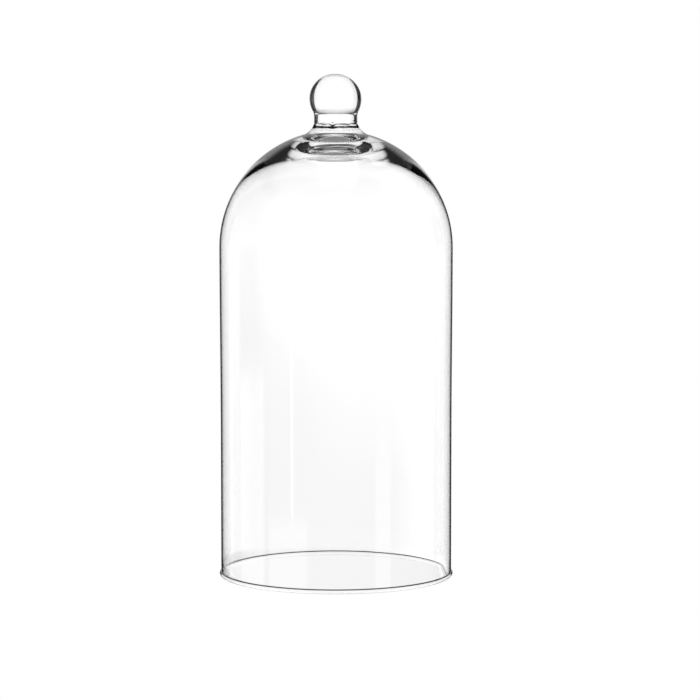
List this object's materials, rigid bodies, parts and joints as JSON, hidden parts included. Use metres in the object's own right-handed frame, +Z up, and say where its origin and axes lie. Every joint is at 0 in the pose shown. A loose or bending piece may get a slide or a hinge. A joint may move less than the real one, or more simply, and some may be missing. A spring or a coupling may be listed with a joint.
{
  "type": "bell jar dome",
  "caption": "Tall clear glass cover with straight walls, a hemispherical crown and a solid ball knob; stands open end down over a displayed object.",
  "frame": {"origin": "centre of the rim on the plane that it rests on", "axes": "+Z up along the dome's axis of symmetry, from the open rim to the knob; +X and +Y are any two square directions, because the dome is round"},
  "size_m": [0.186, 0.186, 0.3972],
  "materials": {
    "dome_glass": "clear colourless blown glass, fire-polished",
    "knob_glass": "clear colourless solid glass, fire-polished"
  },
  "bodies": {
    "root": {"dome_shell": "dome_glass", "knob": "knob_glass"}
  },
  "joints": []
}
